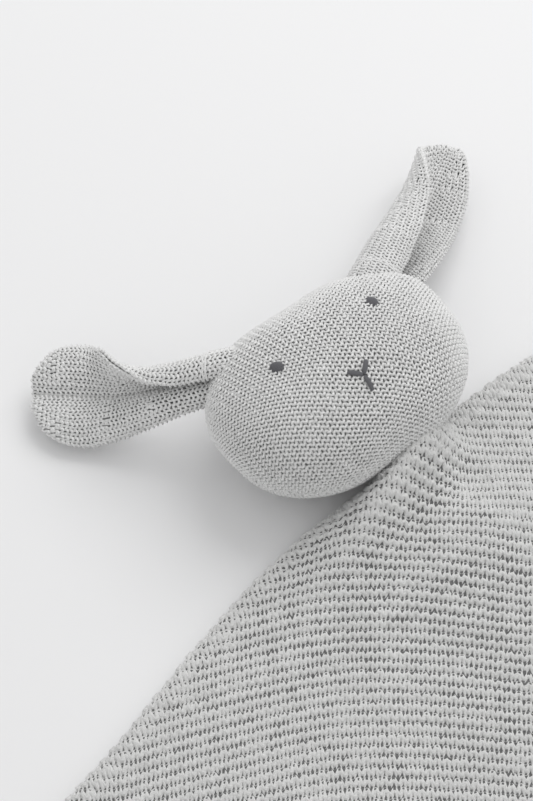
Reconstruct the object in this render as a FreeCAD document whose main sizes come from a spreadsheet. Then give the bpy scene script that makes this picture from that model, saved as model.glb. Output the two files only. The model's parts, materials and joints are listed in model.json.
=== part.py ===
import FreeCAD, Part
import math
import os

# Knitted rabbit comforter: a stuffed rabbit head with two folded ears, sewn by its chin to the middle
# of a square knitted cloth that lies folded corner to corner. +X runs along the fold, +Y points from
# the cloth to the head, +Z is up, and everything rests on Z = 0. Millimetres and degrees.

V = FreeCAD.Vector
doc = FreeCAD.newDocument("rabbit_comforter")
sheet = doc.addObject("Spreadsheet::Sheet", "Sizes")

DRIVING = [
    ("clothSide", 300.0),         # side of the knitted square, before it is folded
    ("clothThickness", 3.0),      # garter stitch, one layer
    ("clothCornerRadius", 7.0),   # the softened corners
    ("layerGap", 0.4),            # air between the two layers where they lie flat
    ("cornerGap", 1.2),           # between the fold strip and the corner behind it, which lifts
    ("foldY", 45.06),             # where the fold line lies, in Y
    ("rollDepth", 12.0),          # how far back the fold's roll lies on the table
    ("creaseDepth", 45.0),        # how far behind the fold the upper layer can be turned up
    ("crestHeight", 21.4),        # how far the fold is lifted at the neck
    ("crestReachLeft", 92.0),     # how far the lifted part reaches towards -X
    ("crestReachRight", 38.0),    # and towards +X
    ("crestFall", 23.0),          # how fast the cloth comes down behind the crest
    ("headHalfWidth", 47.5),
    ("headHalfHeight", 34.0),
    ("headHalfDepth", 27.0),
    ("headTurn", 10.4),           # the head is turned this much on the cloth, clockwise from above
    ("headX", 3.0),
    ("chinGap", 0.7),             # between the chin and the fold
    ("panelThickness", 2.0),      # fine jersey panels of the head and ears
    ("seamDrop", 4.0),            # the head's side seam lies this far under its widest line
    ("seamThread", 1.1),          # radius of the linked seam
    ("fillingGap", 0.25),
    ("eyeSide", 20.4),            # eye centres, from the middle of the face
    ("eyeUp", 8.0),
    ("eyeRadius", 2.3),
    ("eyeRise", 0.9),
    ("noseDown", 13.5),           # where the three face strokes meet, under the middle of the face
    ("strokeLength", 6.0),
    ("strokeWidth", 1.6),
    ("strokeDepth", 1.5),
    ("earLength", 63.0),
    ("earHalfWidth", 18.0),
    ("earRootHalfWidth", 8.0),
    ("earCup", 7.0),              # how deep the ear is folded at its root
    ("earGap", 3.4),              # between the ear's root and the head
    ("tackRadius", 0.8),
    ("stitchRadius", 0.7),
    ("stitchPitch", 4.5),
]
for row, (alias, value) in enumerate(DRIVING, start=1):
    sheet.set(f"A{row}", alias)
    sheet.set(f"B{row}", str(value))
    sheet.setAlias(f"B{row}", alias)
doc.recompute()


def size(alias):
    return float(getattr(sheet, alias))


HEAD_Z = size("headHalfDepth")
TURN = math.radians(size("headTurn"))
CHIN_REACH = math.hypot(size("headHalfWidth") * math.sin(TURN), size("headHalfHeight") * math.cos(TURN))
HEAD_Y = size("foldY") + CHIN_REACH + size("chinGap")
HEAD_TURN = FreeCAD.Rotation(V(0, 0, 1), -size("headTurn"))
HEAD = FreeCAD.Placement(V(size("headX"), HEAD_Y, HEAD_Z), HEAD_TURN)
HALF_DIAGONAL = size("clothSide") / math.sqrt(2)
SEAM_SHARE = math.sqrt(1 - (size("seamDrop") / size("headHalfDepth")) ** 2)


def bell(distance, reach):
    """1 in the middle, falling smoothly to 0 well past the reach."""
    return math.exp(-((distance / reach) ** 2))


# ---------------------------------------------------------------- cloth, folded corner to corner
def cloth_top(x, back):
    """Height of the upper layer's upper face at x, that far behind the fold."""
    reach = size("crestReachLeft") if x < 0 else size("crestReachRight")
    flat = 2 * size("clothThickness") + size("layerGap")
    return flat + size("crestHeight") * bell(x, reach) * bell(max(back - 4, 0), size("crestFall"))


def roll_under(x):
    """How far back the fold strip lies on the table at x; it narrows towards the cloth's corners."""
    return min(size("rollDepth"), 0.7 * (HALF_DIAGONAL - abs(x)))


def strip_depth(x):
    """How far back the fold strip reaches in all: its ledge lies on the lower layer."""
    return min(size("creaseDepth"), 0.9 * (HALF_DIAGONAL - abs(x)))


def section(x, points):
    """A closed wire in the plane of that X, from (distance behind the fold, height) pairs."""
    corners = [V(x, size("foldY") - back, height) for back, height in points]
    return Part.makePolygon(corners + corners[:1])


def lofted(name, wires):
    piece = doc.addObject("Part::Feature", name)
    piece.Shape = Part.makeLoft(wires, True, True)
    return piece


def lower_layer():
    """The layer that lies on the table: a triangle with its long side behind the rolled fold."""
    body = doc.addObject("PartDesign::Body", "blanket_lower_layer")
    plane = next(f for f in body.Origin.OriginFeatures if f.Role == "XY_Plane")
    sketch = body.newObject("Sketcher::SketchObject", "lower_layer_outline")
    sketch.AttachmentSupport = [(plane, "")]
    sketch.MapMode = "FlatFace"
    edge = -(size("rollDepth") + size("layerGap"))
    half = HALF_DIAGONAL + edge
    corners = [V(-half, edge, 0), V(0, -HALF_DIAGONAL, 0), V(half, edge, 0)]
    for start, end in zip(corners, corners[1:] + corners[:1]):
        sketch.addGeometry(Part.LineSegment(start, end))
    pad = body.newObject("PartDesign::Pad", "lower_layer_pad")
    pad.Profile = sketch
    pad.setExpression("Length", "Sizes.clothThickness")
    doc.recompute()
    upright = [
        f"Edge{i}" for i, e in enumerate(pad.Shape.Edges, start=1)
        if abs(e.tangentAt(e.FirstParameter).z) > 0.9
    ]
    rounding = body.newObject("PartDesign::Fillet", "lower_layer_corners")
    rounding.Base = (pad, upright)
    rounding.setExpression("Radius", "Sizes.clothCornerRadius")
    body.setExpression("Placement.Base.y", "Sizes.foldY")
    return body


STRIP_STATIONS = [-205, -180, -150, -120, -95, -70, -50, -30, -15, 0, 12, 24, 36, 50, 70, 100, 140, 180, 205]
FRONT_PROFILE = [(2.0, 0.97), (0.5, 0.82), (0.0, 0.5), (0.5, 0.18), (2.0, 0.0)]   # set back, share of height


def fold_strip():
    """The strip along the fold, rolled in front, and lifted in the middle where the chin is sewn on."""
    ledge = size("clothThickness") + size("layerGap")
    wires = []
    for x in STRIP_STATIONS:
        depth = strip_depth(x)
        top = [(depth * k / 6, cloth_top(x, depth * k / 6)) for k in range(6, 0, -1)]
        front = [(back, share * cloth_top(x, 0)) for back, share in FRONT_PROFILE]
        under = [(roll_under(x), 0), (roll_under(x), ledge), (depth, ledge)]
        wires.append(section(x, top + front + under))
    return lofted("blanket_fold_strip", wires)


CORNER_STATIONS = [-158, -120, -80, -50, -25, 0, 25, 50, 80, 120, 158]
CORNER_STEPS = 6


def top_corner():
    """The rest of the upper layer: a triangle that lifts about its long side, just behind the strip."""
    wires = []
    for x in CORNER_STATIONS:
        near = size("creaseDepth") + size("cornerGap")
        far = HALF_DIAGONAL - abs(x)
        backs = [near + (far - near) * (k / CORNER_STEPS) ** 1.5 for k in range(CORNER_STEPS + 1)]
        top = [(b, cloth_top(x, b)) for b in backs]
        under = [(b, z - size("clothThickness")) for b, z in reversed(top)]
        wires.append(section(x, top + under))
    return lofted("blanket_top_corner", wires)


def neck_stitches():
    """The hand stitches that hold the chin to the fold, one solid each, sunk in the rolled cloth."""
    piece = doc.addObject("Part::Feature", "neck_stitches")
    radius = size("stitchRadius")
    long = 7 * radius
    low = 0.9 * cloth_top(0, 0) - long
    feet = [V(size("headX") + k * size("stitchPitch"), size("foldY") - 0.6 * radius, low) for k in range(-3, 4)]
    piece.Shape = Part.makeCompound([Part.makeCylinder(radius, long, foot) for foot in feet])
    return piece


# ---------------------------------------------------------------- head
def egg(name, less=""):
    """The head's rounded form; less is what is taken off each of its radii."""
    form = doc.addObject("Part::Ellipsoid", name)
    form.setExpression("Radius1", f"Sizes.headHalfDepth{less}")
    form.setExpression("Radius2", f"Sizes.headHalfWidth{less}")
    form.setExpression("Radius3", f"Sizes.headHalfHeight{less}")
    form.Placement = HEAD
    return form


def half_space(name, above):
    """A box on one side of the side seam, on which the head's shell is parted."""
    box = doc.addObject("Part::Box", name)
    box.setExpression("Length", "4 * Sizes.headHalfWidth")
    box.setExpression("Width", "4 * Sizes.headHalfWidth")
    box.setExpression("Height", "3 * Sizes.headHalfDepth")
    lift = HEAD_Z - size("seamDrop")
    gap = 0.8 * size("seamThread")
    bottom = lift + gap if above else lift - gap - 3 * size("headHalfDepth")
    box.Placement = FreeCAD.Placement(
        V(size("headX") - 2 * size("headHalfWidth"), HEAD_Y - 2 * size("headHalfWidth"), bottom),
        FreeCAD.Rotation(),
    )
    return box


def head_panel(name, above):
    """One knitted panel of the head: the shell on that side of the seam."""
    shell = doc.addObject("Part::Cut", name + "_shell")
    shell.Base = egg(name + "_outside")
    shell.Tool = egg(name + "_inside", " - Sizes.panelThickness")
    panel = doc.addObject("Part::Common", name)
    panel.Base = shell
    panel.Tool = half_space(name + "_side", above)
    return panel


def head_filling():
    return egg("head_filling", " - Sizes.panelThickness - Sizes.fillingGap")


def head_seam():
    """The linked seam round the head, where the front and back panels meet."""
    path = doc.addObject("Part::Ellipse", "seam_path")
    path.MajorRadius = size("headHalfWidth") * SEAM_SHARE - size("seamThread")
    path.MinorRadius = size("headHalfHeight") * SEAM_SHARE - size("seamThread")
    path.Placement = FreeCAD.Placement(V(size("headX"), HEAD_Y, HEAD_Z - size("seamDrop")), HEAD_TURN)
    ring = doc.addObject("Part::Circle", "seam_section")
    ring.setExpression("Radius", "Sizes.seamThread")
    start = HEAD_TURN.multVec(V(path.MajorRadius, 0, 0))
    upright = FreeCAD.Rotation(V(0, 0, 1), HEAD_TURN.multVec(V(0, 1, 0)))
    ring.Placement = FreeCAD.Placement(path.Placement.Base + start, upright)
    sweep = doc.addObject("Part::Sweep", "head_side_seam")
    sweep.Sections = [ring]
    sweep.Spine = (path, ["Edge1"])
    sweep.Solid = True
    return sweep


def face_point(x, y):
    """(point on the face, outward normal) at x, y in the head's own axes, in the row frame."""
    a, b, c = size("headHalfWidth"), size("headHalfHeight"), size("headHalfDepth")
    z = c * math.sqrt(1 - (x / a) ** 2 - (y / b) ** 2)
    normal = V(x / a**2, y / b**2, z / c**2).normalize()
    return HEAD.multVec(V(x, y, z)), HEAD_TURN.multVec(normal)


def eye(name, side):
    """A satin-stitched round eye: a low dome through the front panel."""
    point, normal = face_point(side * size("eyeSide"), size("eyeUp"))
    dome = doc.addObject("Part::Ellipsoid", name)
    dome.setExpression("Radius1", "Sizes.eyeRise")
    dome.setExpression("Radius2", "Sizes.eyeRadius")
    dome.setExpression("Radius3", "Sizes.eyeRadius")
    dome.Placement = FreeCAD.Placement(point, FreeCAD.Rotation(V(0, 0, 1), normal))
    return dome


def stroke(name, angle):
    """One satin-stitched bar of the face, from the meeting point outwards at that angle."""
    body = doc.addObject("PartDesign::Body", name)
    plane = next(f for f in body.Origin.OriginFeatures if f.Role == "XY_Plane")
    sketch = body.newObject("Sketcher::SketchObject", name + "_outline")
    sketch.AttachmentSupport = [(plane, "")]
    sketch.MapMode = "FlatFace"
    half = size("strokeWidth") / 2
    near, far = half + 0.75, size("strokeLength") - half
    up, down = math.pi / 2, 3 * math.pi / 2
    sketch.addGeometry(Part.LineSegment(V(near, half, 0), V(far, half, 0)))
    sketch.addGeometry(Part.LineSegment(V(near, -half, 0), V(far, -half, 0)))
    sketch.addGeometry(Part.ArcOfCircle(Part.Circle(V(near, 0, 0), V(0, 0, 1), half), up, down))
    sketch.addGeometry(Part.ArcOfCircle(Part.Circle(V(far, 0, 0), V(0, 0, 1), half), -up, up))
    pad = body.newObject("PartDesign::Pad", name + "_pad")
    pad.Profile = sketch
    pad.setExpression("Length", "Sizes.strokeDepth")
    middle = size("strokeLength") / 2
    turn = math.radians(angle)
    point, normal = face_point(middle * math.cos(turn), middle * math.sin(turn) - size("noseDown"))
    lean = FreeCAD.Rotation(V(0, 0, 1), normal)
    spin = FreeCAD.Rotation(V(0, 0, 1), angle - size("headTurn"))
    facing = lean.multiply(spin)
    body.Placement = FreeCAD.Placement(
        point - facing.multVec(V(middle, 0, 0.6 * size("strokeDepth"))), facing
    )
    return body


# ---------------------------------------------------------------- ears
# name, bearing of the ear from the middle of the head, how far it droops; in the head's own axes
EARS = [("left_ear", 138.5, -16.0), ("right_ear", 28.0, -9.0)]
EAR_ROOT_BEARING = {"left_ear": 139.0, "right_ear": 37.0}
EAR_STATIONS = [0.0, 0.12, 0.25, 0.4, 0.55, 0.7, 0.82, 0.91, 0.97, 1.0]
EAR_STEPS = 8


def ear_frame(name, bearing, droop):
    """Placement of an ear: its own +X runs along the ear, +Z is the side its hollow faces."""
    root = math.radians(EAR_ROOT_BEARING[name])
    a, b = size("headHalfWidth"), size("headHalfHeight")
    radius = 1 / math.hypot(math.cos(root) / a, math.sin(root) / b)
    along = V(math.cos(root), math.sin(root), 0)
    outwards = V(math.cos(math.radians(bearing)), math.sin(math.radians(bearing)), 0)
    start = HEAD.multVec(along * radius + outwards * size("earGap"))
    turned = FreeCAD.Rotation(V(0, 0, 1), bearing - size("headTurn"))
    drooped = turned.multiply(FreeCAD.Rotation(V(0, 1, 0), -droop))
    return FreeCAD.Placement(start, drooped)


def ear_half_width(s):
    """Half the ear's width at that share of its length: a narrow root, a wide paddle, a round end."""
    root, wide = size("earRootHalfWidth"), size("earHalfWidth")
    paddle = root + (wide - root) * (0.5 - 0.5 * math.cos(math.pi * min(s / 0.68, 1)))
    if s > 0.68:
        paddle *= math.sqrt(max(1 - ((s - 0.68) / 0.325) ** 2, 0.0))
    return max(paddle, 2.2)


def ear_wire(s, low, high):
    """A closed crescent across the ear, between two heights over its middle surface."""
    half = ear_half_width(s)
    cup = size("earCup") * (1 - 0.55 * s)
    x = s * size("earLength")
    sides = [2 * k / EAR_STEPS - 1 for k in range(EAR_STEPS + 1)]
    taper = [1 - 0.55 * abs(t) ** 3 for t in sides]
    upper = [V(x, half * t, cup * t * t + high * w) for t, w in zip(sides, taper)]
    lower = [V(x, half * t, cup * t * t + low * w) for t, w in zip(sides, taper)]
    if low == 0:
        lower = [V(p.x, p.y, cup * t * t + 0.08) for p, t in zip(lower, sides)]
    if high == 0:
        upper = [V(p.x, p.y, cup * t * t - 0.08) for p, t in zip(upper, sides)]
    corners = upper + lower[::-1]
    return Part.makePolygon(corners + corners[:1])


def ear_panel(name, frame, low, high):
    panel = doc.addObject("Part::Feature", name)
    panel.Shape = Part.makeLoft([ear_wire(s, low, high) for s in EAR_STATIONS], True, True)
    panel.Placement = frame
    return panel


def ear_tack(name, frame):
    """The thread wound round the ear's folded root."""
    thread = size("tackRadius")
    x = 0.07 * size("earLength")
    half = ear_half_width(0.07)
    panel = size("panelThickness")
    corners = [
        V(x, -half - 0.4, size("earCup") + 1.0),
        V(x, -half * 0.6, -panel - 0.2),
        V(x, half * 0.6, -panel - 0.2),
        V(x, half + 0.4, size("earCup") + 1.0),
    ]
    path = Part.makePolygon(corners)
    circle = Part.Wire([Part.makeCircle(thread, corners[0], corners[1] - corners[0])])
    tack = doc.addObject("Part::Feature", name)
    tack.Shape = path.makePipeShell([circle], True, False, 2)
    tack.Placement = frame
    return tack


# ---------------------------------------------------------------- assembly
made = [lower_layer(), fold_strip(), top_corner()]
made.append(neck_stitches())
made += [head_panel("head_front_panel", True), head_panel("head_back_panel", False)]
made += [head_filling(), head_seam(), eye("left_eye", -1), eye("right_eye", 1)]
made += [stroke("nose_left_stroke", 140), stroke("nose_right_stroke", 42), stroke("mouth_stroke", -96)]
for ear, bearing, droop in EARS:
    frame = ear_frame(ear, bearing, droop)
    made.append(ear_panel(ear + "_front_panel", frame, 0, size("panelThickness")))
    made.append(ear_panel(ear + "_back_panel", frame, -size("panelThickness"), 0))
    made.append(ear_tack(ear + "_tack", frame))
for piece in made:
    piece.Label = piece.Name

doc.recompute()
failed = [o.Name for o in doc.Objects if {"Invalid", "Error"} & set(o.State)]
if failed:
    raise RuntimeError(f"these objects failed to build: {failed}")
for piece in made:
    shape = piece.Shape
    if shape.isNull() or not shape.isValid() or not shape.Solids or shape.Volume <= 0:
        raise RuntimeError(f"{piece.Label} is not a valid solid")

os.makedirs("parts", exist_ok=True)
whole = FreeCAD.BoundBox()
for piece in made:
    piece.Shape.exportStep(f"parts/{piece.Label}.step")
    box = piece.Shape.optimalBoundingBox(True)
    whole.add(box)
    print(f"{piece.Label}: {box.XLength:.1f} x {box.YLength:.1f} x {box.ZLength:.1f}, z from {box.ZMin:.2f}")
print(f"whole: centre {whole.Center.x:.3f}, {whole.Center.y:.3f}; z {whole.ZMin:.3f} to {whole.ZMax:.2f}")
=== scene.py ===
import json
import math
import bpy
import numpy as np
from mathutils import Matrix, Vector


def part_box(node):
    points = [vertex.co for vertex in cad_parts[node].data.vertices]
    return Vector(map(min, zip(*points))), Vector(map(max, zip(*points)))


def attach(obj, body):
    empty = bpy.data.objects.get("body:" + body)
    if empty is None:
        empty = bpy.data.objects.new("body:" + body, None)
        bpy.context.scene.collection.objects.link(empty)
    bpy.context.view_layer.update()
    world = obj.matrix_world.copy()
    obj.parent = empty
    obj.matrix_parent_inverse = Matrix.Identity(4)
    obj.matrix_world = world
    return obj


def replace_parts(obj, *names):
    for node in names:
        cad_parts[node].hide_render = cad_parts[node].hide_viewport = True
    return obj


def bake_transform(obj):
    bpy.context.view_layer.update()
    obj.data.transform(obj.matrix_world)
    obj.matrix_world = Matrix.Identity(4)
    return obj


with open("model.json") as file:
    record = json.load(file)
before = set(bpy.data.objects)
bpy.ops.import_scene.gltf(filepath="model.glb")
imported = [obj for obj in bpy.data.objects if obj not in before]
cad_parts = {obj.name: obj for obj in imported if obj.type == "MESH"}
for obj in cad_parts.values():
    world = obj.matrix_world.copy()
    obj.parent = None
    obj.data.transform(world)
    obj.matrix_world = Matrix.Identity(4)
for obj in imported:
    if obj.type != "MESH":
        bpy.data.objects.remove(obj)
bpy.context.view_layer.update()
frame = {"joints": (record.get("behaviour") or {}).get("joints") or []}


def boxOf(node):
    # lowest and highest corner of a CAD node, in millimetres
    low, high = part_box(node)
    return 1000 * np.array(low), 1000 * np.array(high)


toy = {
    "headTurn": math.radians(10.4),    # the head lies turned this much on the cloth, clockwise
    "headCentre": sum(boxOf("head_filling")) / 2,
    "foldY": boxOf("blanket_fold_strip")[1][1],
}
print("frame read, head centre", np.round(toy["headCentre"], 1), "fold at", round(toy["foldY"], 1))


# camera, floor and light
shot = {
    "azimuth": math.radians(-48.9), "elevation": math.radians(56), "distance": 900.0, "lens": 121.0,
    "aimRight": -23.6, "aimUp": -4.3,    # from the middle of the head, in the view's own directions
}
lightPlan = {
    "sky": 0.66, "keyPower": 9.7, "keySize": 1.1, "keyAt": (0.90, 0.22, 1.10),
    "fillPower": 0.6, "fillSize": 1.6, "fillAt": (-1.1, 0.2, 1.1), "floorTone": (0.86, 0.86, 0.865),
}


def placeCamera():
    a, e = shot["azimuth"], shot["elevation"]
    look = np.array([-math.sin(a) * math.cos(e), math.cos(a) * math.cos(e), -math.sin(e)])
    right = np.array([math.cos(a), math.sin(a), 0.0])
    up = np.cross(right, look)
    aim = toy["headCentre"] + shot["aimRight"] * right + shot["aimUp"] * up
    data = bpy.data.cameras.new("camera")
    data.lens = shot["lens"]
    data.sensor_width = 36.0
    data.clip_end = 20.0
    camera = bpy.data.objects.new("camera", data)
    bpy.context.scene.collection.objects.link(camera)
    turn = Matrix([[right[i], up[i], -look[i]] for i in range(3)]).to_4x4()
    camera.matrix_world = Matrix.Translation(Vector(0.001 * (aim - shot["distance"] * look))) @ turn
    bpy.context.scene.camera = camera


def areaLight(name, place, size, power):
    data = bpy.data.lights.new(name, "AREA")
    data.shape = "SQUARE"
    data.size = size
    data.energy = power
    light = bpy.data.objects.new(name, data)
    bpy.context.scene.collection.objects.link(light)
    aim = Vector(0.001 * toy["headCentre"]) - Vector(place)
    turn = aim.to_track_quat("-Z", "Y").to_matrix().to_4x4()
    light.matrix_world = Matrix.Translation(Vector(place)) @ turn


def lightTheRoom():
    world = bpy.data.worlds.new("studio")
    bpy.context.scene.world = world
    world.use_nodes = True
    sky = world.node_tree.nodes["Background"]
    sky.inputs["Color"].default_value = (1.0, 1.0, 1.0, 1.0)
    sky.inputs["Strength"].default_value = lightPlan["sky"]
    areaLight("keyLight", lightPlan["keyAt"], lightPlan["keySize"], lightPlan["keyPower"])
    areaLight("fillLight", lightPlan["fillAt"], lightPlan["fillSize"], lightPlan["fillPower"])
    bpy.context.scene.view_settings.view_transform = "Standard"


placeCamera()
lightTheRoom()
print("camera and light placed")


# materials
def shaderOf(material):
    return next(n for n in material.node_tree.nodes if n.type == "BSDF_PRINCIPLED")


def node(material, kind, **settings):
    made = material.node_tree.nodes.new(kind)
    for key, value in settings.items():
        setattr(made, key, value)
    return made


def ramp(material, source, low, high, start=0.0, end=1.0):
    made = node(material, "ShaderNodeValToRGB")
    made.color_ramp.elements[0].color = (*low, 1.0)
    made.color_ramp.elements[0].position = start
    made.color_ramp.elements[1].color = (*high, 1.0)
    made.color_ramp.elements[1].position = end
    material.node_tree.links.new(source, made.inputs["Fac"])
    return made.outputs["Color"]


def yarnMaterial(name, light, dark, plies=3.0, sheen=0.35, roughness=0.9):
    # plied yarn: diagonal plies from the tube's own UVs, fibre fuzz and a slow drift from noise, with
    # painted shade in the grooves between the plies
    material = bpy.data.materials.new(name)
    material.use_nodes = True
    links = material.node_tree.links
    shader = shaderOf(material)
    shader.inputs["Roughness"].default_value = roughness
    shader.inputs["Sheen Weight"].default_value = sheen
    shader.inputs["Sheen Roughness"].default_value = 0.5
    shader.inputs["Specular IOR Level"].default_value = 0.15
    along = node(material, "ShaderNodeUVMap", uv_map="yarn")
    stretched = node(material, "ShaderNodeMapping")
    stretched.inputs["Rotation"].default_value = (0.0, 0.0, math.radians(38))
    stretched.inputs["Scale"].default_value = (plies, plies, 1.0)
    links.new(along.outputs["UV"], stretched.inputs["Vector"])
    ply = node(material, "ShaderNodeTexWave", wave_profile="SIN", bands_direction="X")
    ply.inputs["Scale"].default_value = 1.0
    ply.inputs["Distortion"].default_value = 1.2
    ply.inputs["Detail"].default_value = 1.0
    links.new(stretched.outputs["Vector"], ply.inputs["Vector"])
    place = node(material, "ShaderNodeTexCoord")
    fuzz = node(material, "ShaderNodeTexNoise")
    fuzz.inputs["Scale"].default_value = 1900.0
    fuzz.inputs["Detail"].default_value = 3.0
    links.new(place.outputs["Object"], fuzz.inputs["Vector"])
    drift = node(material, "ShaderNodeTexNoise")
    drift.inputs["Scale"].default_value = 45.0
    drift.inputs["Detail"].default_value = 2.0
    links.new(place.outputs["Object"], drift.inputs["Vector"])
    tint = node(material, "ShaderNodeAttribute", attribute_name="tint")
    mixed = node(material, "ShaderNodeMath", operation="MULTIPLY_ADD")
    mixed.inputs[1].default_value = 0.35
    links.new(fuzz.outputs["Fac"], mixed.inputs[0])
    links.new(tint.outputs["Fac"], mixed.inputs[2])
    drifted = node(material, "ShaderNodeMath", operation="MULTIPLY_ADD")
    drifted.inputs[1].default_value = 0.3
    links.new(drift.outputs["Fac"], drifted.inputs[0])
    links.new(mixed.outputs["Value"], drifted.inputs[2])
    # painted shade: the ply wave darkens the colour in its grooves, where it also lowers the bump; fuzz,
    # drift and tint add tone that differs at random
    plied = node(material, "ShaderNodeMath", operation="MULTIPLY_ADD")
    plied.inputs[1].default_value = 0.22
    links.new(ply.outputs["Fac"], plied.inputs[0])
    links.new(drifted.outputs["Value"], plied.inputs[2])
    colour = ramp(material, plied.outputs["Value"], dark, light, 0.25, 1.15)
    links.new(colour, shader.inputs["Base Color"])
    lifted = node(material, "ShaderNodeMath", operation="ADD")
    links.new(ply.outputs["Fac"], lifted.inputs[0])
    links.new(fuzz.outputs["Fac"], lifted.inputs[1])
    relief = node(material, "ShaderNodeBump")
    relief.inputs["Strength"].default_value = 0.25
    relief.inputs["Distance"].default_value = 0.0002
    links.new(lifted.outputs["Value"], relief.inputs["Height"])
    links.new(relief.outputs["Normal"], shader.inputs["Normal"])
    return material


def paintedShadeMaterial(name, light, dark):
    # what shows between the stitches: a dark sheet whose colour is painted shade, for the shade between
    # and under the loops, mottled like packed fibre
    material = bpy.data.materials.new(name)
    material.use_nodes = True
    links = material.node_tree.links
    shader = shaderOf(material)
    shader.inputs["Roughness"].default_value = 0.95
    shader.inputs["Specular IOR Level"].default_value = 0.05
    place = node(material, "ShaderNodeTexCoord")
    fibres = node(material, "ShaderNodeTexNoise")
    fibres.inputs["Scale"].default_value = 900.0
    fibres.inputs["Detail"].default_value = 4.0
    links.new(place.outputs["Object"], fibres.inputs["Vector"])
    links.new(ramp(material, fibres.outputs["Fac"], dark, light, 0.3, 0.7), shader.inputs["Base Color"])
    relief = node(material, "ShaderNodeBump")
    relief.inputs["Strength"].default_value = 0.5
    relief.inputs["Distance"].default_value = 0.0003
    links.new(fibres.outputs["Fac"], relief.inputs["Height"])
    links.new(relief.outputs["Normal"], shader.inputs["Normal"])
    return material


finishes = {
    "headYarn": yarnMaterial("headYarn", (0.88, 0.88, 0.875), (0.64, 0.64, 0.636)),
    "blanketYarn": yarnMaterial("blanketYarn", (0.76, 0.76, 0.753), (0.52, 0.52, 0.515)),
    "charcoalFloss": yarnMaterial("charcoalFloss", (0.15, 0.15, 0.16), (0.06, 0.06, 0.066), 2.0, 0.1, 0.6),
    # painted shade: these two dark finishes colour the sheets under the knit, for the shade between the
    # stitches
    "headPaintedShade": paintedShadeMaterial("headPaintedShade", (0.34, 0.34, 0.34), (0.22, 0.22, 0.22)),
    "blanketPaintedShade": paintedShadeMaterial("blanketPaintedShade", (0.19, 0.19, 0.19), (0.11, 0.11, 0.11)),
}


# surfaces and meshes
def unit(vectors):
    return vectors / np.maximum(np.linalg.norm(vectors, axis=-1, keepdims=True), 1e-9)


def normalsOf(surface, u, v, out):
    # cross product of the surface's two central differences, pointing out of the toy
    step = 0.25
    alongU = surface(u + step, v) - surface(u - step, v)
    alongV = surface(u, v + step) - surface(u, v - step)
    return out * unit(np.cross(alongU, alongV))


def meshOf(name, points, faces, material, uvs=None, tints=None):
    # points in millimetres; faces is a list of index arrays, one for each number of corners
    mesh = bpy.data.meshes.new(name)
    mesh.vertices.add(len(points))
    mesh.vertices.foreach_set("co", (0.001 * points).astype(np.float32).ravel())
    loops = np.concatenate([f.ravel() for f in faces]).astype(np.int32)
    sizes = np.concatenate([np.full(len(f), f.shape[1]) for f in faces])
    starts = np.concatenate([[0], np.cumsum(sizes)[:-1]]).astype(np.int32)
    mesh.loops.add(len(loops))
    mesh.loops.foreach_set("vertex_index", loops)
    mesh.polygons.add(len(sizes))
    mesh.polygons.foreach_set("loop_start", starts)
    mesh.polygons.foreach_set("use_smooth", np.ones(len(sizes), bool))
    if uvs is not None:
        layer = mesh.uv_layers.new(name="yarn")
        layer.data.foreach_set("uv", uvs.astype(np.float32).ravel())
    if tints is not None:
        attribute = mesh.attributes.new("tint", "FLOAT", "POINT")
        attribute.data.foreach_set("value", tints.astype(np.float32))
    mesh.update(calc_edges=True)
    mesh.validate()
    mesh.materials.append(material)
    piece = bpy.data.objects.new(name, mesh)
    bpy.context.scene.collection.objects.link(piece)
    return piece


def tubesOf(name, centres, normals, radius, keep, perStitch, sides, material, tint):
    # A tube along each row of centres. Ring k is a circle across the yarn; keep says which stretches
    # of perStitch rings exist, and a stretch that ends is closed with a cap.
    rows, rings = centres.shape[:2]
    along = unit(np.gradient(centres, axis=1))
    aside = unit(np.cross(normals, along))
    above = np.cross(along, aside)
    turn = 2 * np.pi * np.arange(sides) / sides
    width = np.broadcast_to(radius, (rows, rings))[..., None, None]
    points = (centres[:, :, None] + width * (np.cos(turn)[None, None, :, None] * aside[:, :, None]
                                             + np.sin(turn)[None, None, :, None] * above[:, :, None]))
    solid = np.repeat(keep, perStitch, axis=1)
    j, k = np.nonzero(solid)
    s = np.arange(sides)
    first = ((j * rings + k) * sides)[:, None]
    around = (s + 1) % sides
    quads = np.stack([first + s, first + around, first + sides + around, first + sides + s], axis=2)
    quads = quads.reshape(-1, 4)
    padded = np.pad(solid, ((0, 0), (1, 1)))
    starts = np.nonzero(padded[:, 1:] & ~padded[:, :-1])
    ends = np.nonzero(~padded[:, 1:] & padded[:, :-1])
    closeStart = ((starts[0] * rings + starts[1]) * sides)[:, None] + s[::-1]
    closeEnd = ((ends[0] * rings + ends[1]) * sides)[:, None] + s
    run = (k / perStitch)[:, None]
    onward = run + 1 / perStitch
    alongUv = np.stack([run + 0 * s, run + 0 * s, onward + 0 * s, onward + 0 * s], 2)
    aroundUv = np.stack([s + 0 * run, s + 1 + 0 * run, s + 1 + 0 * run, s + 0 * run], 2) / sides
    quadUv = np.stack([alongUv, aroundUv], axis=3).reshape(-1, 2)
    capUv = np.zeros(((len(closeStart) + len(closeEnd)) * sides, 2))
    used, index = np.unique(quads, return_inverse=True)
    renumber = np.full(rows * rings * sides, -1)
    renumber[used] = np.arange(len(used))
    tints = np.repeat(np.broadcast_to(tint, (rows, rings)).ravel(), sides)[used]
    faces = [index.reshape(-1, 4), renumber[np.concatenate([closeStart, closeEnd])]]
    uvs = np.concatenate([quadUv, capUv])
    return meshOf(name, points.reshape(-1, 3)[used], faces, material, uvs, tints)


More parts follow.
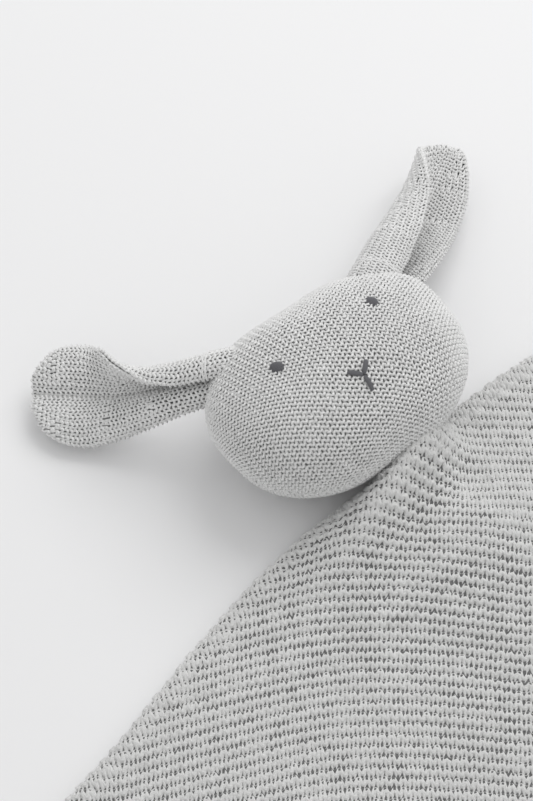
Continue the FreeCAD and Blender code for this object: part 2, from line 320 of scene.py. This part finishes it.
def betweenStitches(random, rows, columns, perStitch):
    # a smooth random value along each course: one number per stitch, eased from one to the next
    marks = random.standard_normal((rows, columns + 1))
    k = np.arange(columns * perStitch + 1)
    cell = np.minimum(k // perStitch, columns - 1)
    share = k / perStitch - cell
    ease = share * share * (3 - 2 * share)
    return marks[:, cell] * (1 - ease) + marks[:, cell + 1] * ease


uneven = {    # how much one stitch differs from the next
    "sway": 0.05, "slack": 0.06, "lift": 0.05, "fullness": 0.05, "tint": 0.07, "courseTint": 0.03,
    "tintMiddle": 0.42, "fullest": 1.45,
}


def knit(name, surface, stitch, columns, rows, keep, seed, out, material, midRow=None, fits=None):
    # Weft knitting. In course j, with t = 2 pi k / perStitch + pi:
    # u = wale k / perStitch + lean sin 2t, v = course j + rise cos t. The purl face has its loops' ends
    # out, height = depth cos 2t. In garter stitch one end is out and the other in, height = side depth
    # cos t, and side changes from course to course, where every other course also sits a little back.
    per = stitch["perStitch"]
    random = np.random.default_rng(seed)
    k = np.arange(columns * per + 1)[None, :]
    t = 2 * np.pi * k / per + np.pi
    j = np.arange(rows)[:, None]
    slack = betweenStitches(random, rows, columns, per)
    sway = betweenStitches(random, rows, columns, per)
    lift = betweenStitches(random, rows, columns, per)
    middle = (rows - 1) / 2 if midRow is None else midRow
    u = stitch["wale"] * (k / per - columns / 2) + stitch["lean"] * np.sin(2 * t)
    u = u + uneven["sway"] * stitch["wale"] * sway
    v = stitch["course"] * (j - middle) + stitch["rise"] * (1 + uneven["slack"] * slack) * np.cos(t)
    if stitch["garter"]:
        v = v - stitch["setBack"] * (j % 2)
    if fits is not None:
        u = u * np.where(u < 0, fits[0][:, None], fits[1][:, None])
    wave = np.where(j % 2 == 0, 1.0, -1.0) * np.cos(t) if stitch["garter"] else np.cos(2 * t)
    height = stitch["depth"] * wave + stitch["over"] + uneven["lift"] * lift
    normals = normalsOf(surface, u, v, out)
    centres = surface(u, v) + normals * height[..., None]
    stitchTint = betweenStitches(random, rows, columns, per)
    courseTint = random.standard_normal((rows, 1))
    tint = uneven["tintMiddle"] + uneven["tint"] * stitchTint + uneven["courseTint"] * courseTint
    radius = stitch["yarn"] * (1 + uneven["fullness"] * slack)
    if stitch["garter"]:
        # where the form draws the courses apart, the yarn is fuller and fills the gap
        apart = np.linalg.norm(surface(u, v + 0.5) - surface(u, v - 0.5), axis=-1)
        radius = radius * np.clip(apart, 1.0, uneven["fullest"])
    piece = tubesOf(name, centres, normals, radius, keep, per, stitch["sides"], material, tint)
    print(name, "stitches", int(keep.sum()), "faces", len(piece.data.polygons))
    return piece


def shellOf(name, top, bottom, material):
    # a closed thin shell between two grids of points with the same shape, joined round their rim
    rows, columns = top.shape[:2]
    points = np.concatenate([top.reshape(-1, 3), bottom.reshape(-1, 3)])
    index = np.arange(rows * columns).reshape(rows, columns)
    under = index + rows * columns
    upper = np.stack([index[:-1, :-1], index[1:, :-1], index[1:, 1:], index[:-1, 1:]], 2).reshape(-1, 4)
    lower = np.stack([under[:-1, :-1], under[:-1, 1:], under[1:, 1:], under[1:, :-1]], 2).reshape(-1, 4)
    rim = np.concatenate([index[0, :-1], index[:-1, -1], index[-1, :0:-1], index[:0:-1, 0]])
    after = np.roll(rim, -1)
    wall = np.stack([rim, after, after + rows * columns, rim + rows * columns], 1)
    return meshOf(name, points, [np.concatenate([upper, lower, wall])], material)


# head: two panels of fine jersey, purl side out, over the filling
head = {
    "halfWidth": 47.0, "halfHeight": 33.5, "halfDepth": 26.2, "seamDrop": 4.0,
    # where the outline stands out of an ellipse: direction in degrees, share, reach in degrees
    "swell": [(-180, -0.06, 22), (-150, -0.009, 22), (-120, 0.013, 22), (-90, -0.066, 22), (-60, 0.03, 22),
              (-30, 0.024, 22), (0, -0.002, 22), (30, 0.109, 22), (60, 0.051, 22), (90, -0.08, 22),
              (120, 0.067, 22), (150, 0.013, 22)],
}
jersey = {
    "wale": 2.50, "course": 1.80, "yarn": 0.47, "rise": 1.42, "lean": 0.28, "depth": 0.42,
    "over": 0.15, "perStitch": 10, "sides": 4, "garter": False,
}


def turned(points):
    # from the head's own axes to the row frame
    c, s = math.cos(toy["headTurn"]), math.sin(toy["headTurn"])
    x, y = points[..., 0], points[..., 1]
    return np.stack([x * c + y * s, y * c - x * s, points[..., 2]], -1) + toy["headCentre"]


def arcTable(radius):
    # length along an ellipse of that radius and the head's depth, from its pole outwards
    tau = np.linspace(0, math.radians(115), 400)
    pace = np.hypot(radius * np.cos(tau), head["halfDepth"] * np.sin(tau))
    return tau, np.concatenate([[0], np.cumsum((pace[1:] + pace[:-1]) / 2 * np.diff(tau))])


headArcs = {"x": arcTable(head["halfWidth"]), "y": arcTable(head["halfHeight"])}
quarterX = float(np.interp(math.pi / 2, *headArcs["x"]))
quarterY = float(np.interp(math.pi / 2, *headArcs["y"]))


def headSurface(tau, psi, inset=0.0):
    # x = a sin tau cos psi, y = b sin tau sin psi, z = c cos tau, with the outline swollen near the rim
    swell = 1.0
    for at, share, reach in head["swell"]:
        away = np.angle(np.exp(1j * (psi - math.radians(at))))
        swell = swell + share * np.exp(-((away / math.radians(reach)) ** 2))
    wide = 1 + (swell - 1) * np.sin(tau) ** 2
    x = (head["halfWidth"] - inset) * np.sin(tau) * np.cos(psi) * wide
    y = (head["halfHeight"] - inset) * np.sin(tau) * np.sin(psi) * wide
    z = (head["halfDepth"] - inset) * np.cos(tau)
    return turned(np.stack([x, y, z], -1))


def skinAngles(u, v):
    # cloth u, v in millimetres from the middle of the face, laid so that its length outwards is kept
    psi = np.arctan2(v / quarterY, u / quarterX)
    reach = np.hypot(u / quarterX, v / quarterY)
    across = np.interp(reach * quarterX, headArcs["x"][1], headArcs["x"][0])
    upwards = np.interp(reach * quarterY, headArcs["y"][1], headArcs["y"][0])
    return across * np.cos(psi) ** 2 + upwards * np.sin(psi) ** 2, psi


def frontSkin(u, v):
    # from the pole at the middle of the face, tau outwards
    tau, psi = skinAngles(u, v)
    return headSurface(tau, psi)


def backSkin(u, v):
    # from the pole on the table, so tau is taken from pi
    tau, psi = skinAngles(u, v)
    return headSurface(math.pi - tau, psi)


seamTau = math.acos(-head["seamDrop"] / head["halfDepth"])


def headPanel(name, skin, limit, seed, out):
    # courses over a whole skin, of which the stitches inside the seam are kept
    columns = 2 * int(1.15 * quarterX / jersey["wale"])
    rows = 2 * int(1.15 * quarterY / jersey["course"]) + 1
    k = np.arange(columns)[None, :] + 0.5
    j = np.arange(rows)[:, None] - (rows - 1) / 2
    tau = skinAngles(jersey["wale"] * (k - columns / 2), jersey["course"] * j)[0]
    keep = tau < limit
    piece = knit(name, skin, jersey, columns, rows, keep, seed, out, finishes["headYarn"])
    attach(piece, "head")
    return piece


def stuffedForm():
    # the filled head under its skin: a closed ball of rings from the face's pole to the back's
    tau = np.linspace(0.02, math.pi - 0.02, 72)[:, None]
    psi = np.linspace(-math.pi, math.pi, 128, endpoint=False)[None, :]
    points = headSurface(tau + 0 * psi, psi + 0 * tau, 0.45)
    rows, columns = points.shape[:2]
    index = np.arange(rows * columns).reshape(rows, columns)
    after = np.roll(index, -1, axis=1)
    quads = np.stack([index[:-1], index[1:], after[1:], after[:-1]], 2).reshape(-1, 4)
    poles = turned(np.array([[0, 0, head["halfDepth"] - 0.45], [0, 0, 0.45 - head["halfDepth"]]]))
    crown, base = rows * columns, rows * columns + 1
    caps = np.concatenate([
        np.stack([np.full(columns, crown), index[0], after[0]], 1),
        np.stack([np.full(columns, base), after[-1], index[-1]], 1)])
    # its dark colour is painted shade, for the shade that shows between the head's stitches
    piece = meshOf("head_filled_form", np.concatenate([points.reshape(-1, 3), poles]), [quads, caps],
                   finishes["headPaintedShade"])
    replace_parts(piece, "head_filling")
    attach(piece, "head")


stuffedForm()
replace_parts(headPanel("head_front_knit", frontSkin, seamTau - 0.01, 11, 1), "head_front_panel")
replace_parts(headPanel("head_back_knit", backSkin, math.pi - seamTau - 0.01, 12, -1), "head_back_panel")


def yarnAlong(name, paths, normals, radius, material, body=None, replaced=(), sides=6, tint=0.45):
    # one tube along each path of points; all the paths have the same number of points
    paths = np.asarray(paths, float)
    normals = np.broadcast_to(normals, paths.shape)
    keep = np.ones((len(paths), paths.shape[1] - 1), bool)
    piece = tubesOf(name, paths, normals, radius, keep, 1, sides, material, tint)
    if replaced:
        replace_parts(piece, *replaced)
    if body:
        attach(piece, body)
    return piece


seam = {"stitches": 96, "sway": 0.026, "over": 0.32, "arch": 0.3, "yarn": 0.42}    # sway in radians


def headSeam():
    # whip stitches round the side seam: psi runs once round, tau sways across the seam, and the
    # yarn rises over it and dips back in
    stitches, per = seam["stitches"], 12
    k = np.arange(stitches * per + 1)
    phase = 2 * np.pi * k / per
    psi = 2 * np.pi * k / (stitches * per)
    tau = seamTau + seam["sway"] * np.sin(phase)
    points = headSurface(tau, psi)
    outwards = unit(points - toy["headCentre"])
    points = points + outwards * (seam["over"] + seam["arch"] * np.cos(2 * phase))[:, None]
    yarnAlong("head_seam_stitches", points[None], outwards[None], seam["yarn"], finishes["headYarn"],
              "head", ("head_side_seam",), 5, 0.4)


headSeam()
print("head knitted")


# face: satin-stitched eyes and three strokes that meet
face = {
    "eyes": {"left_eye": (-20.6, 6.2), "right_eye": (20.2, 7.4)},
    "eyeRadius": 2.25, "threads": 11, "eyeSlope": 18.0, "thread": 0.26,
    "meet": (-1.0, -13.8), "strokeLength": 5.6,
    "strokes": {"nose_left_stroke": 140.0, "nose_right_stroke": 42.0, "mouth_stroke": -96.0},
}


def onFace(x, y, rise):
    # the point of the skin at x, y in the head's own axes, that high over it
    a, b, c = head["halfWidth"], head["halfHeight"], head["halfDepth"]
    z = c * np.sqrt(np.maximum(1 - (x / a) ** 2 - (y / b) ** 2, 0))
    out = unit(np.stack([x / a ** 2, y / b ** 2, z / c ** 2], -1))
    return np.stack([x, y, z], -1) + out * rise[..., None], out


def floss(cadNode, x, y, rise):
    # satin threads laid on the face, one along each row of x and y
    points, out = onFace(x, y, rise)
    normals = turned(out) - toy["headCentre"]
    yarnAlong(cadNode + "_floss", turned(points), normals, face["thread"], finishes["charcoalFloss"],
              "head", (cadNode,), 6, 0.5)


def satinEye(name, place):
    # parallel threads across a disc: each a chord, domed by a cosine and tucked in at both ends
    rows, steps = face["threads"], 15
    across = face["eyeRadius"] * np.linspace(-0.94, 0.94, rows)[:, None]
    half = np.sqrt(face["eyeRadius"] ** 2 - across ** 2)
    share = np.linspace(-1, 1, steps)[None, :]
    rise = 0.75 + 0.75 * np.cos(share * math.pi / 2) * np.cos(0.5 * across / face["eyeRadius"] * math.pi)
    rise = rise - 1.3 * np.abs(share) ** 6
    slope = math.radians(face["eyeSlope"])
    x = half * share * math.cos(slope) - across * math.sin(slope)
    y = half * share * math.sin(slope) + across * math.cos(slope)
    floss(name, place[0] + x, place[1] + y, rise)


def satinStroke(name, angle):
    # five long threads side by side along the stroke, domed across and tucked in at both ends
    steps = 15
    turn = math.radians(angle)
    share = np.linspace(0, 1, steps)[None, :]
    across = np.array([-0.46, -0.24, 0.0, 0.24, 0.46])[:, None]
    length = face["strokeLength"] * share
    spread = across * (0.7 + 0.6 * np.sin(share * math.pi))
    rise = 0.62 + 0.5 * np.sin(share * math.pi) ** 0.7 + 0.22 * np.cos(across * 3)
    rise = rise - 1.2 * np.abs(2 * share - 1) ** 8
    x = face["meet"][0] + length * math.cos(turn) - spread * math.sin(turn)
    y = face["meet"][1] + length * math.sin(turn) + spread * math.cos(turn)
    floss(name, x, y, rise)


for eyeName, eyePlace in face["eyes"].items():
    satinEye(eyeName, eyePlace)
for strokeName, strokeAngle in face["strokes"].items():
    satinStroke(strokeName, strokeAngle)
print("face embroidered")


# ears: two layers of jersey, folded lengthwise and rolled up at the root
# Stations from root to tip: share of the length, the fold line's x, y and z, then for the front's two
# sides the width of the wall and the slope it starts and ends with, in degrees from level.
ears = {
    "left_ear": {"length": 79.0, "seed": 21, "stations": [
        (0.00, -15.0, 105.5, 30.1, 22, 5, 240, 12.5, 85, -105),
        (0.10, -20.5, 110.9, 28, 22, 5, 240, 12.5, 85, -105),
        (0.26, -28.7, 118.9, 24, 21, 8, 232, 13.5, 82, -92),
        (0.41, -34.8, 127.7, 18, 19, 22, 190, 15, 66, -75),
        (0.56, -39.3, 137.2, 12, 17, 48, 108, 16.5, 42, -58),
        (0.71, -45.1, 146.9, 9, 18, 58, 5, 18.5, 20, -46),
        (0.86, -52.0, 156.5, 8, 20.5, 58, -20, 19, 14, -46),
        (1.00, -57.2, 165.8, 6, 19, 52, -20, 17, 10, -30)]},
    "right_ear": {"length": 93.0, "seed": 41, "stations": [
        (0.00, 34.6, 93.8, 24, 15, 10, 50, 33, 0, 240),
        (0.09, 41.9, 96.4, 22, 15, 10, 50, 33, 0, 240),
        (0.29, 58.6, 102.5, 17, 16, 12, 35, 32, 0, 235),
        (0.44, 72.1, 107.0, 13, 15.5, 12, 20, 29, 5, 215),
        (0.61, 86.2, 112.0, 10, 15, 10, 10, 25, 10, 190),
        (0.75, 98.7, 116.1, 9, 13.5, 15, 5, 20, 15, 135),
        (0.87, 109.6, 119.8, 9, 11.5, 20, 0, 15, 20, 75),
        (1.00, 120.8, 123.2, 9, 9, 30, 0, 9, 30, 45)]},
}
earKnit = dict(jersey, wale=2.3, course=1.65, yarn=0.49, rise=1.28, depth=0.34, perStitch=8, sides=4)
earThick = 1.3
roundFrom = 0.74                       # share of the length where the tip starts to round off
fineShare = np.linspace(0, 1, 201)


def smoothed(shares, values):
    # straight lines between the stations, rounded off by a bell-shaped running average
    bell = np.exp(-((np.arange(-16, 17) / 7.0) ** 2))
    line = np.interp(fineShare, shares, values)
    ends = np.concatenate([2 * line[0] - line[16:0:-1], line, 2 * line[-1] - line[-2:-18:-1]])
    return np.convolve(ends, bell / bell.sum(), "valid")


for ear in ears.values():
    table = np.array(ear["stations"], float)
    ear["curves"] = [smoothed(table[:, 0], table[:, i]) for i in range(1, 10)]
    ear["along"] = unit(table[-1, 1:4] - table[0, 1:4])
    ear["across"] = unit(np.cross(ear["along"], [0.0, 0.0, 1.0]))
    ear["up"] = np.cross(ear["across"], ear["along"])


def earAt(ear, share):
    return [np.interp(share, fineShare, curve) for curve in ear["curves"]]


def earWidth(ear, share, side):
    # the wall's width from fold to rim, drawn in to a round end
    widths = earAt(ear, share)[3 if side > 0 else 6]
    tip = np.sqrt(np.clip(1 - ((share - roundFrom) / 0.262) ** 2, 0.0005, 1))
    return widths * np.where(share > roundFrom, tip, 1)


def earMiddle(name):
    # the middle surface of one ear, as a function of u across it from the fold and v along it
    ear = ears[name]

    def surface(u, v):
        # Each wall is an arc: its slope goes evenly from start to end over the full width, so
        # y = (sin(start + bend l) - sin start) / bend, z = (cos start - cos(start + bend l)) / bend.
        share = np.clip(v / ear["length"], 0, 1)
        at = earAt(ear, share)
        near = u >= 0
        first = np.radians(np.where(near, at[4], at[7]))
        last = np.radians(np.where(near, at[5], at[8]))
        bend = (last - first) / np.where(near, at[3], at[6])
        bend = np.where(np.abs(bend) < 1e-4, 1e-4, bend)
        away = np.abs(u)
        y = np.sign(u) * (np.sin(first + bend * away) - np.sin(first)) / bend
        z = (np.cos(first) - np.cos(first + bend * away)) / bend
        fold = np.stack(at[:3], -1)
        return fold + y[..., None] * ear["across"] + z[..., None] * ear["up"]

    return surface


def earSide(name, side):
    # one layer: off the middle by half the ear's thickness, closing to nothing at the rim
    middle = earMiddle(name)
    ear = ears[name]

    def surface(u, v):
        share = np.clip(v / ear["length"], 0, 1)
        rim = np.where(u >= 0, earWidth(ear, share, 1), earWidth(ear, share, -1))
        inside = np.clip(u, -rim, rim)
        lens = np.sqrt(np.clip(1 - (np.abs(inside) / rim) ** 5, 0, 1))
        lens = lens * np.clip((ear["length"] + 1 - v) / 5, 0, 1)
        return middle(inside, v) + side * (earThick * lens)[..., None] * normalsOf(middle, inside, v, 1)

    return surface


def bendAtRoot(piece):
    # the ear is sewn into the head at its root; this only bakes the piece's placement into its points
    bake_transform(piece)


def makeEar(name):
    ear = ears[name]
    rows = int(ear["length"] / earKnit["course"])
    share = (np.arange(rows) + 0.5) * earKnit["course"] / ear["length"]
    # every course has a whole number of stitches on each side of the fold, eased to reach the rim
    rims = [earWidth(ear, share, side) for side in (-1, 1)]
    counts = [np.maximum(np.round(rim / earKnit["wale"]), 1) for rim in rims]
    half = int(max(count.max() for count in counts))
    k = np.arange(2 * half)[None, :] + 0.5 - half
    keep = (k < counts[1][:, None]) & (k > -counts[0][:, None])
    fits = [(rim - 0.2) / (count * earKnit["wale"]) for rim, count in zip(rims, counts)]
    for layer, side in (("front", 1), ("back", -1)):
        piece = knit(f"{name}_{layer}_knit", earSide(name, side), earKnit, 2 * half, rows, keep,
                     ear["seed"] + side, side, finishes["headYarn"], -0.5, fits)
        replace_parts(piece, f"{name}_{layer}_panel")
        bendAtRoot(piece)
    share = np.linspace(0.0, 0.985, 70)[:, None]
    t = np.linspace(-1, 1, 61)[None, :]
    rim = np.where(t >= 0, earWidth(ear, share, 1), earWidth(ear, share, -1))
    u = t * (rim - 1.2)
    v = share * ear["length"] + 0 * t
    middle = earMiddle(name)
    core = [middle(u, v) + side * 0.4 * normalsOf(middle, u, v, 1) for side in (1, -1)]
    # a thin sheet between the two layers, coloured dark as painted shade where it shows between the
    # stitches
    paintedShadeSheet = shellOf(name + "_painted_shade_sheet", core[0], core[1], finishes["headPaintedShade"])
    bendAtRoot(paintedShadeSheet)
    turns = earRootStitches(name)


def earRootStitches(name):
    # two turns of thread round the rolled root, just outside the back layer
    ear = ears[name]
    t = np.linspace(-0.99, 0.99, 81)
    skin = earSide(name, -1)
    paths, normals = [], []
    for station in (9.6, 10.7):
        v = np.full_like(t, station)
        share = v / ear["length"]
        u = np.where(t >= 0, t * earWidth(ear, share, 1), t * earWidth(ear, share, -1))
        normals.append(normalsOf(skin, u, v, -1))
        paths.append(skin(u, v) + normals[-1] * 0.4)
    thread = yarnAlong(name + "_root_thread", paths, np.array(normals), 0.3, finishes["headYarn"],
                       None, (name + "_tack",), 6, 0.35)
    bendAtRoot(thread)
    return thread


for earName in ears:
    makeEar(earName)
print("ears knitted")


# blanket: a garter-stitch square, folded on its diagonal
blanket = {
    "side": 300.0, "cut": -15.0,           # the two pieces part here, inside the fold, in the lower layer
    "lowMid": 1.85, "highMid": 4.95,       # heights of the two layers' middles where they lie flat
    "roll": 6.0,
    "crestHeight": 21.5, "crestX": 12.0, "reachLeft": 44.0, "reachRight": 10.0, "crestFall": 10.0,
    "ridgeBack": 4.0, "ridgeSlope": 0.24,  # how far behind the fold the crest's ridge is, and its run
    "swell": 6.5, "swellX": 2.0, "swellBack": 38.0, "swellReach": (40.0, 19.0),
    "pleatHeight": 1.5, "pleatTurns": 6, "pleatStart": 0.8, "pleatAt": 17.0, "pleatReach": 13.0,
    # the slopes at which the rows are drawn back left and right of the neck, and where each starts
    "drawn": 1.5, "drawnLeft": 0.19, "drawnRight": 0.15, "leftFrom": -15, "leftTo": -80, "rightFrom": 6,
    "foldDrift": 0.16, "driftFrom": 24.0, "driftEnd": 212.0, "driftFade": 120.0,
    "stretch": -0.0686, "forwards": 7.5, "ripple": 1.1,
    # how far the folded edge bows forwards: places along it, and the bow at each
    "bow": ([-212, -160, -120, -90, -60, -35, -12, 8, 30, 60, 100, 160, 212],
            [0, 0.5, 4, 6.5, 7.5, 6, 2, 0, 3, 6.2, 7.5, 9, 9]),
}
garter = {
    "wale": 2.85, "course": 1.85, "yarn": 0.85, "rise": 1.34, "lean": 0.30, "depth": 0.46,
    "over": 0.0, "perStitch": 8, "sides": 4, "garter": True, "setBack": 0.25,
}
halfDiagonal = blanket["side"] / math.sqrt(2)
viewRight = np.array([math.cos(shot["azimuth"]), math.sin(shot["azimuth"])])
sheared = np.array([-viewRight[1], viewRight[0]])    # the way the rows are drawn up towards the neck


def ripple(x, y, seed, size):
    # slow uneven waves: a sum of sines in random directions, lengths 35 to 120 mm
    random = np.random.default_rng(seed)
    total = 0.0
    for _ in range(7):
        way = random.uniform(0, 2 * np.pi)
        length = random.uniform(35, 120)
        phase = random.uniform(0, 2 * np.pi)
        total = total + np.sin(2 * np.pi * (x * math.cos(way) + y * math.sin(way)) / length + phase)
    return size * total / 7


def easedRamp(along, soft=9.0):
    # nothing below zero, straight above it, with the corner rounded off
    return soft * np.log1p(np.exp(np.clip(along / soft, -30, 30)))


def drawnUp(along):
    # how far the rows are drawn forwards at that place across: rising from the left, falling to the right
    left = easedRamp(blanket["leftFrom"] - np.maximum(along, blanket["leftTo"]))
    right = easedRamp(along - blanket["rightFrom"])
    return blanket["drawn"] - blanket["drawnLeft"] * left - blanket["drawnRight"] * right


def crest(x, back):
    # the raised fold: highest at the neck, its ridge runs back from the fold towards -X
    reach = np.where(x < blanket["crestX"], blanket["reachLeft"], blanket["reachRight"])
    high = blanket["crestHeight"] * np.exp(-(((x - blanket["crestX"]) / reach) ** 2))
    ridge = blanket["ridgeBack"] + blanket["ridgeSlope"] * np.clip(blanket["crestX"] - x, 0, 80)
    inFront = 0.5 + 0.5 * np.cos(np.pi * np.clip((ridge - back) / (ridge + 2.0), 0, 1))
    behind = np.exp(-((np.maximum(back - ridge, 0) / blanket["crestFall"]) ** 2))
    wide, deep = blanket["swellReach"]
    sideways = (x - blanket["swellX"]) / wide
    behindIt = (back - blanket["swellBack"]) / deep
    swell = np.exp(-(sideways ** 2) - (behindIt ** 2))
    return high * np.where(back < ridge, inFront, behind) + blanket["swell"] * swell


def pleats(x, back):
    # small folds that fan out from the neck: a cosine of the direction, times a bell of the distance
    reach = np.hypot(x - blanket["crestX"], back)
    turn = np.arctan2(back, x - blanket["crestX"])
    fade = np.exp(-(((reach - blanket["pleatAt"]) / blanket["pleatReach"]) ** 2))
    return blanket["pleatHeight"] * np.cos(blanket["pleatTurns"] * turn + blanket["pleatStart"]) * fade


def cloth(p, q):
    # p runs along the courses and q across them, both from the middle of the square. Along the fold is
    # (p - q) / sqrt 2 and back from it (p + q) / sqrt 2. The sheet turns through a half circle where it
    # crosses the fold, and lies at its layer's height plus crest, ripple and pleats behind it.
    along, back = (p - q) / math.sqrt(2), (p + q) / math.sqrt(2)
    drift = blanket["foldDrift"] * np.maximum(along - blanket["driftFrom"], 0)
    foldAt = drift * np.clip((blanket["driftEnd"] - along) / blanket["driftFade"], 0, 1)
    beyond = back - foldAt
    roll = blanket["roll"]
    bent = np.clip(beyond / roll, -1, 1) * math.pi / 2
    depth = np.where(np.abs(beyond) < roll, roll * (1 - np.cos(bent)), np.abs(beyond)) + foldAt
    upper = (1 + np.sin(bent)) / 2
    loose = np.clip(back / 30, 0, 1)
    waves = ripple(along, back, 5, blanket["ripple"]) + pleats(along, back)
    top = blanket["highMid"] + crest(along, depth) + waves * loose
    height = blanket["lowMid"] + (np.maximum(top, blanket["highMid"] - 0.2) - blanket["lowMid"]) * upper
    x, y = along, toy["foldY"] - depth
    across = x * viewRight[0] + (y - toy["foldY"]) * viewRight[1]
    pull = drawnUp(across)
    lean = blanket["stretch"] * np.maximum(q, 0)
    bow = np.interp(along, *blanket["bow"]) * (1 - 0.3 * np.clip(depth / 120, 0, 1))
    return np.stack([x + sheared[0] * pull + viewRight[0] * lean,
                     y + sheared[1] * pull + viewRight[1] * lean + blanket["forwards"] + bow, height], -1)


edging = {"loops": 100, "sway": 0.75, "weave": 0.5, "yarn": 0.62}


def clothEdges(layerSign):
    # The finished edge along one layer's two free sides: two yarns that cross like a chain. Each
    # sways to and fro along the edge by a sine, and passes over and under by its double.
    half = blanket["side"] / 2
    loops, per = edging["loops"], 10
    k = np.arange(loops * per + 1)
    place = half - 3 - (2 * half - 9) * k / (loops * per)
    out = []
    for edge in (0, 1):
        for shift in (0, math.pi):
            phase = 2 * math.pi * k / per + shift
            sway = half + 0.2 + edging["sway"] * np.sin(phase)
            p, q = (sway, place) if edge == 0 else (place, sway)
            p, q = layerSign * p, layerSign * q
            normals = normalsOf(cloth, p, q, -1)
            weave = edging["weave"] * np.cos(phase + math.pi / 2 + shift)
            out.append((cloth(p, q) + normals * weave[:, None], normals))
    return np.array([o[0] for o in out]), np.array([o[1] for o in out])


def makeBlanket():
    columns = int(blanket["side"] / garter["wale"])
    rows = int(blanket["side"] / garter["course"])
    k = np.arange(columns)[None, :] + 0.5 - columns / 2
    j = np.arange(rows)[:, None] - (rows - 1) / 2
    back = (k * garter["wale"] + j * garter["course"]) / math.sqrt(2)
    turnedUp = back > blanket["cut"]
    bands = {}
    for number, (start, end) in enumerate(((-100, -50), (-50, -22), (-22, 100)), 1):
        bands[f"blanket_lower_{number}"] = ~turnedUp & (j >= start) & (j < end)
    for number, (start, end) in enumerate(((-15, 14), (14, 48), (48, 90), (90, 300)), 1):
        bands[f"blanket_upper_{number}"] = turnedUp & (back >= start) & (back < end)
    made = {}
    for name, keep in bands.items():
        made[name] = knit(name + "_knit", cloth, garter, columns, rows, keep, 31, -1,
                          finishes["blanketYarn"])
    edges = {}
    for name, sign in (("upper", 1), ("lower", -1)):
        paths, normals = clothEdges(sign)
        keep = np.ones((len(paths), paths.shape[1] - 1), bool)
        edges[name] = tubesOf(f"blanket_{name}_edge", paths, normals, edging["yarn"], keep, 1, 5,
                              finishes["blanketYarn"], 0.45)
    limits = {"lower": (-halfDiagonal + 2, blanket["cut"]), "upper": (blanket["cut"], halfDiagonal - 2)}
    # a thin sheet in the middle of each layer, coloured dark as painted shade where it shows between the
    # stitches
    paintedShadeSheets = {}
    for name, (start, end) in limits.items():
        back = np.linspace(start, end, 110)[:, None]
        share = np.linspace(-1, 1, 140)[None, :]
        along = share * (halfDiagonal - 1.5 - np.abs(back))
        p, q = (along + back) / math.sqrt(2), (back - along) / math.sqrt(2)
        off = [cloth(p, q) + side * 0.35 * normalsOf(cloth, p, q, -1) for side in (1, -1)]
        paintedShadeSheets[name] = shellOf(f"blanket_{name}_painted_shade_sheet", off[0], off[1], finishes["blanketPaintedShade"])
    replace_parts(paintedShadeSheets["lower"], "blanket_lower_layer")
    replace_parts(paintedShadeSheets["upper"], "blanket_fold_strip", "blanket_top_corner")
    lying = [paintedShadeSheets["lower"], edges["lower"], *[piece for name, piece in made.items() if "lower" in name]]
    for piece in lying:
        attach(piece, "blanket")
    hinge = next(joint for joint in frame["joints"] if joint["name"] == "top_corner_lift")["pos_m"]
    start, end = (0, hinge[1] + 0.012, hinge[2]), (0, hinge[1] - 0.012, hinge[2])
    rising = [paintedShadeSheets["upper"], edges["upper"],
              *[piece for name, piece in made.items() if "upper" in name]]
    for piece in rising:
        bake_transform(piece)
    share = 0.5 * (1 + blanket["cut"] / halfDiagonal) ** 2


makeBlanket()


neck = {"pitch": 4.0, "height": 19.0, "arch": 2.2, "from": 1.5, "reach": 4.5, "yarn": 0.45}


def neckStitches():
    # seven arches of yarn over the line where chin and cloth meet: out of the cloth, into the chin
    steps = 13
    share = np.linspace(0, 1, steps)[None, :]
    foot = toy["headCentre"][0] - 2 + neck["pitch"] * np.arange(-3, 4)[:, None]
    y = toy["foldY"] + neck["from"] + neck["reach"] * share + 0 * foot
    z = neck["height"] + neck["arch"] * np.sin(share * math.pi) + 0 * foot
    paths = np.stack([foot + 0.8 * share, y, z], -1)
    yarnAlong("neck_stitch_yarn", paths, np.array([1.0, 0.0, 0.0]), neck["yarn"], finishes["blanketYarn"],
              "blanket", ("neck_stitches",), 6, 0.4)


neckStitches()
print("blanket knitted")


def layFloor():
    bpy.ops.mesh.primitive_plane_add(size=80.0, location=(0, 0, 0))
    floor = bpy.context.object
    floor.name = "floor"
    material = bpy.data.materials.new("paleFloor")
    material.use_nodes = True
    shader = shaderOf(material)
    shader.inputs["Base Color"].default_value = (*lightPlan["floorTone"], 1.0)
    shader.inputs["Roughness"].default_value = 0.9
    shader.inputs["Specular IOR Level"].default_value = 0.1
    floor.data.materials.append(material)


layFloor()
